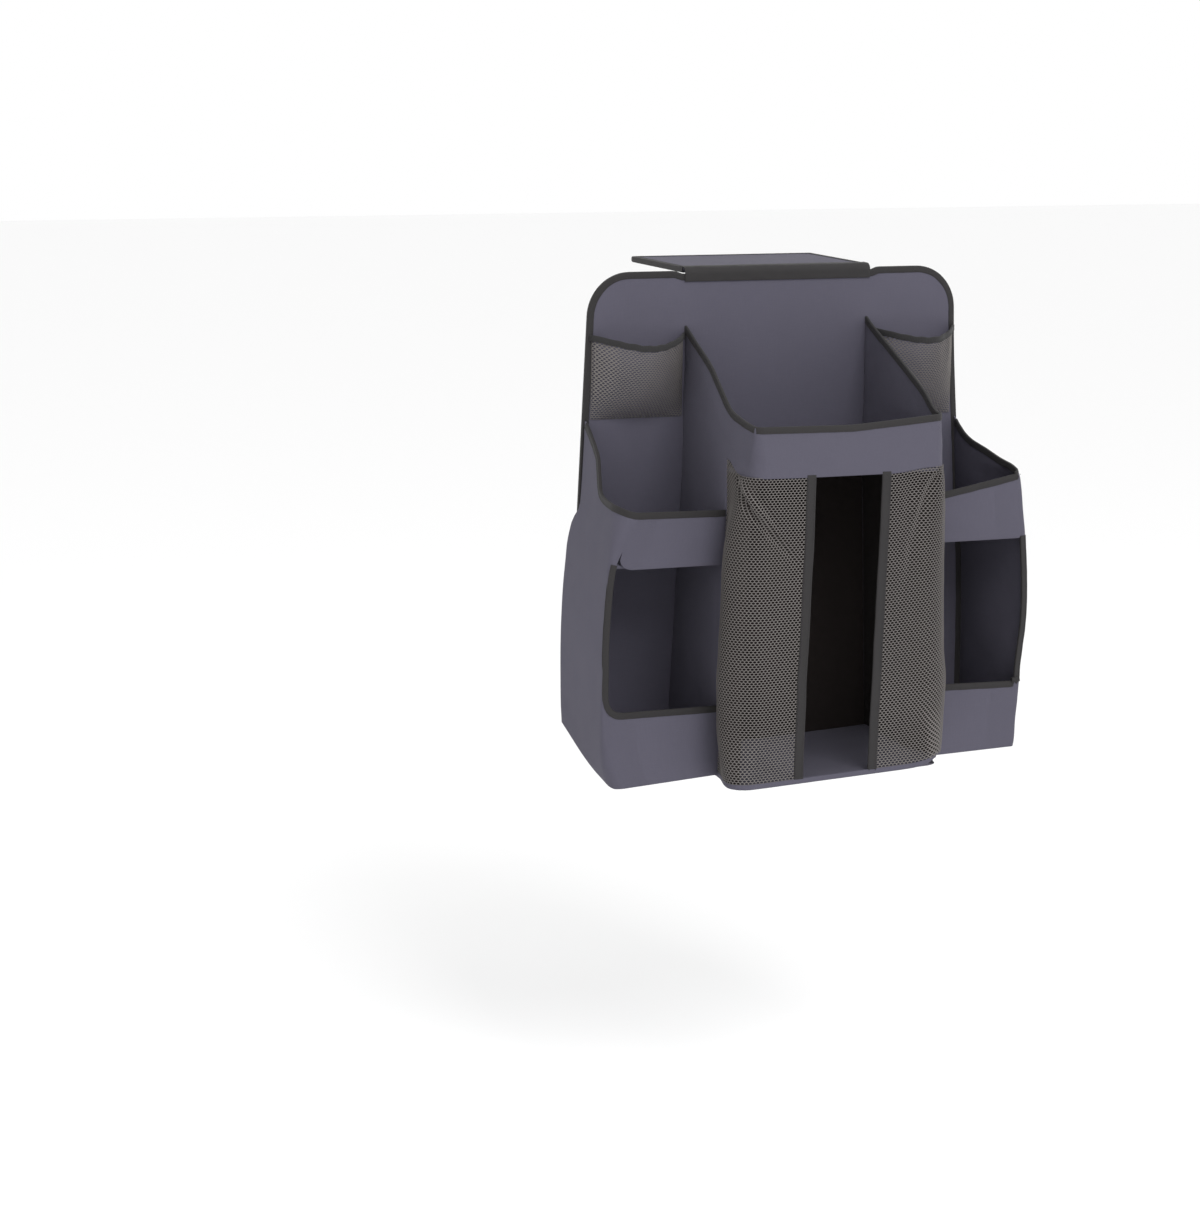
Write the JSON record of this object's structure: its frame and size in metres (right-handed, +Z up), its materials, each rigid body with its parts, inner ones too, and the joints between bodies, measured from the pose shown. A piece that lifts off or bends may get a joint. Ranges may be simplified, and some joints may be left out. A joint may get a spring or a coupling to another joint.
{
  "type": "hanging fabric organizer",
  "caption": "Hanging fabric diaper organizer with a stiff back panel, wipes shelf, net stacker, side pockets, open cubbies and net pockets, hung from a flap that lies over a table or rail.",
  "frame": {"origin": "middle of the fold where the hanging flap meets the back panel, at the level of the surface that the flap lies on", "axes": "+X to the right seen from the front, +Y from the front into the furniture, +Z up; the pockets stand towards -Y"},
  "size_m": [0.5086, 0.351, 0.5572],
  "materials": {
    "grey_cloth": "plain-woven grey polyester cloth, foam backed, matt",
    "black_cloth": "black woven lining, matt",
    "black_tape": "black ribbed binding tape with a stitch line",
    "elastic": "black knitted elastic",
    "net": "open knitted polyester net, light grey-brown threads",
    "webbing": "black woven polypropylene webbing",
    "hook_and_loop": "black hook and loop fastener",
    "board": "sheet plastic stiffener, hidden"
  },
  "bodies": {
    "flap": {"flap_cloth": "grey_cloth", "flap_board": "board", "flap_binding": "black_tape"},
    "organizer": {"back_panel_lining": "black_cloth", "back_panel_board": "board", "back_panel_cloth": "grey_cloth", "back_panel_binding": "black_tape", "stacker_back_cloth": "black_cloth", "shelf_side_left": "grey_cloth", "shelf_side_right": "grey_cloth", "shelf_front": "grey_cloth", "shelf_binding": "black_tape", "shelf_floor_cloth": "grey_cloth", "shelf_floor_board": "board", "stacker_floor_cloth": "grey_cloth", "stacker_floor_board": "board", "stacker_net_front_left": "net", "stacker_net_front_right": "net", "stacker_net_side_left": "net", "stacker_net_side_right": "net", "opening_tape_left": "black_tape", "opening_tape_right": "black_tape", "divider_left": "grey_cloth", "divider_right": "grey_cloth", "outer_wall_left": "grey_cloth", "outer_wall_right": "grey_cloth", "pocket_front_left": "grey_cloth", "pocket_front_right": "grey_cloth", "cubby_front_left": "grey_cloth", "cubby_front_right": "grey_cloth", "pocket_binding_left": "black_tape", "pocket_binding_right": "black_tape", "cubby_binding_left": "black_tape", "cubby_binding_right": "black_tape", "pocket_floor_left_cloth": "grey_cloth", "pocket_floor_left_board": "board", "pocket_floor_right_cloth": "grey_cloth", "pocket_floor_right_board": "board", "cubby_floor_left_cloth": "grey_cloth", "cubby_floor_left_board": "board", "cubby_floor_right_cloth": "grey_cloth", "cubby_floor_right_board": "board", "net_pocket_left": "net", "net_pocket_right": "net", "net_pocket_elastic_left": "elastic", "net_pocket_elastic_right": "elastic", "strap_anchor_left": "webbing", "strap_anchor_right": "webbing", "strap_loop_patch_left": "hook_and_loop", "strap_loop_patch_right": "hook_and_loop"},
    "strap_left": {"strap_webbing_left": "webbing", "strap_hook_patch_left": "hook_and_loop"},
    "strap_right": {"strap_webbing_right": "webbing", "strap_hook_patch_right": "hook_and_loop"}
  },
  "joints": [
    {"name": "flap_fold", "type": "hinge", "parent": "flap", "child": "organizer", "pos_m": [0, 0, 0], "axis": [-1, 0, 0], "range_deg": [0, 90]},
    {"name": "strap_swing_left", "type": "hinge", "parent": "organizer", "child": "strap_left", "pos_m": [-0.185, 0.00265, -0.049], "axis": [1, 0, 0], "range_deg": [0, 180]},
    {"name": "strap_swing_right", "type": "hinge", "parent": "organizer", "child": "strap_right", "pos_m": [0.185, 0.00265, -0.049], "axis": [1, 0, 0], "range_deg": [0, 180]}
  ]
}
